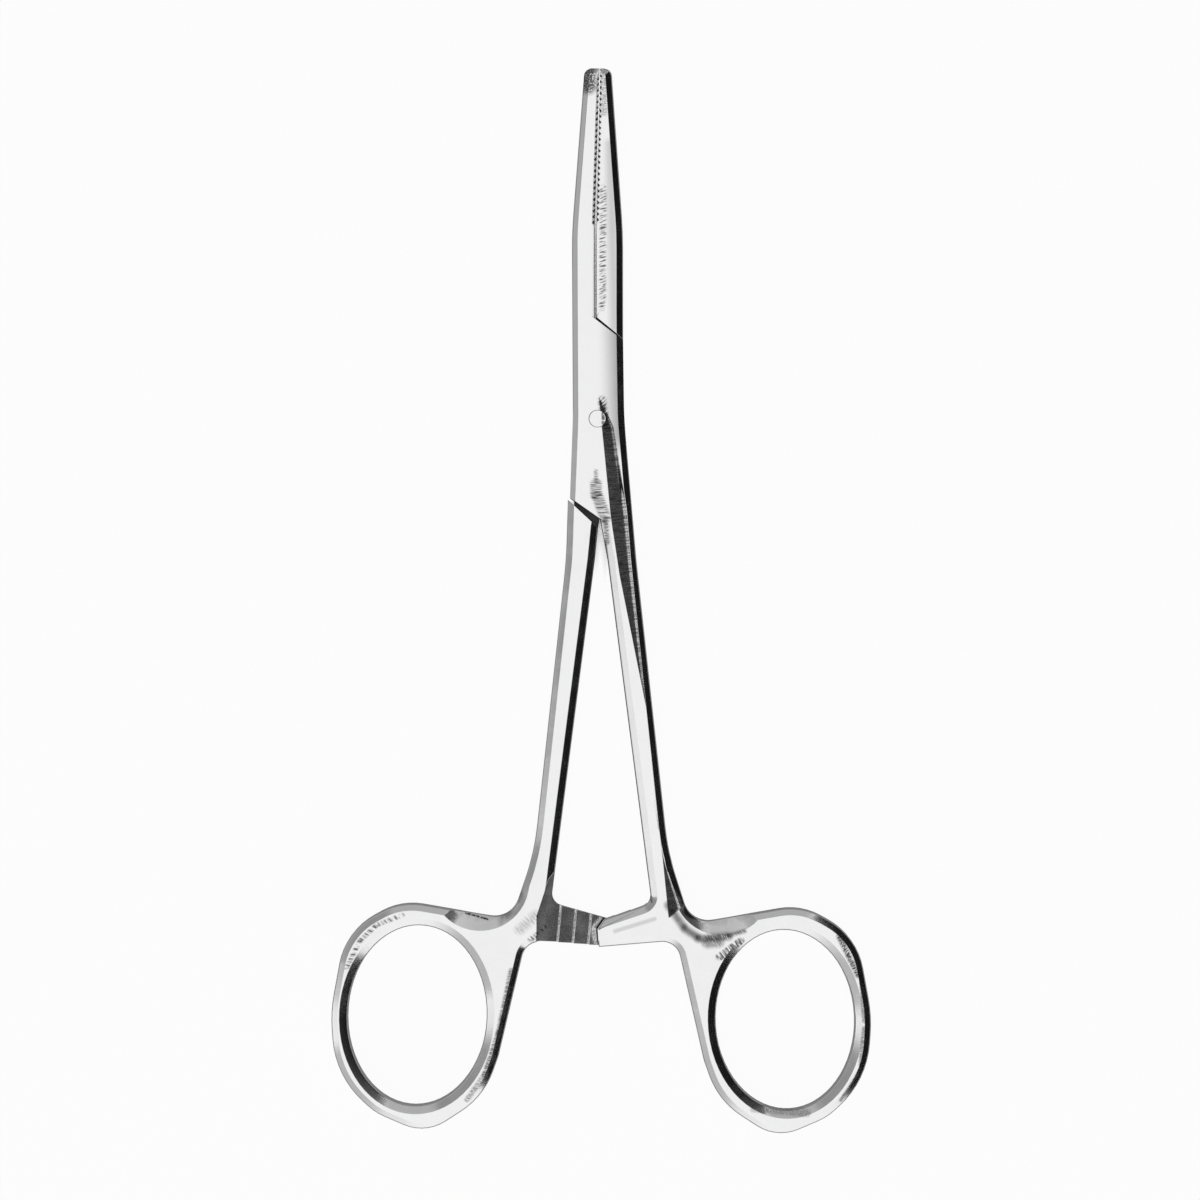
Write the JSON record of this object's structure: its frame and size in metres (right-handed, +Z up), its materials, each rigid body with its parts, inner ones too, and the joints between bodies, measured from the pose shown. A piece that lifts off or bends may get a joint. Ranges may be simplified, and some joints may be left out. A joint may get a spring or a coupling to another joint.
{
  "type": "hemostat forceps",
  "caption": "Straight locking artery forceps with serrated jaws, a box lock, ring handles and a ratchet between the shanks.",
  "frame": {"origin": "on the rivet's axis, in the plane of the lower cheek's outer face, on which the box rests", "axes": "+Y along the closed jaws towards the tips, +X across the instrument to the right as seen from above with the tips up, +Z up, along the rivet"},
  "size_m": [0.0709, 0.1399, 0.0047],
  "materials": {
    "steel": "polished stainless steel with fine grinding marks",
    "rivet_steel": "polished flush with the cheeks"
  },
  "bodies": {
    "box_side": {"box_half": "steel", "pivot_pin": "rivet_steel"},
    "tenon_side": {"tenon_half": "steel"}
  },
  "joints": [
    {"name": "box_lock", "type": "hinge", "parent": "box_side", "child": "tenon_side", "pos_m": [0, 0, 0.00235], "axis": [0, 0, -1], "range_deg": [0, 35]}
  ]
}
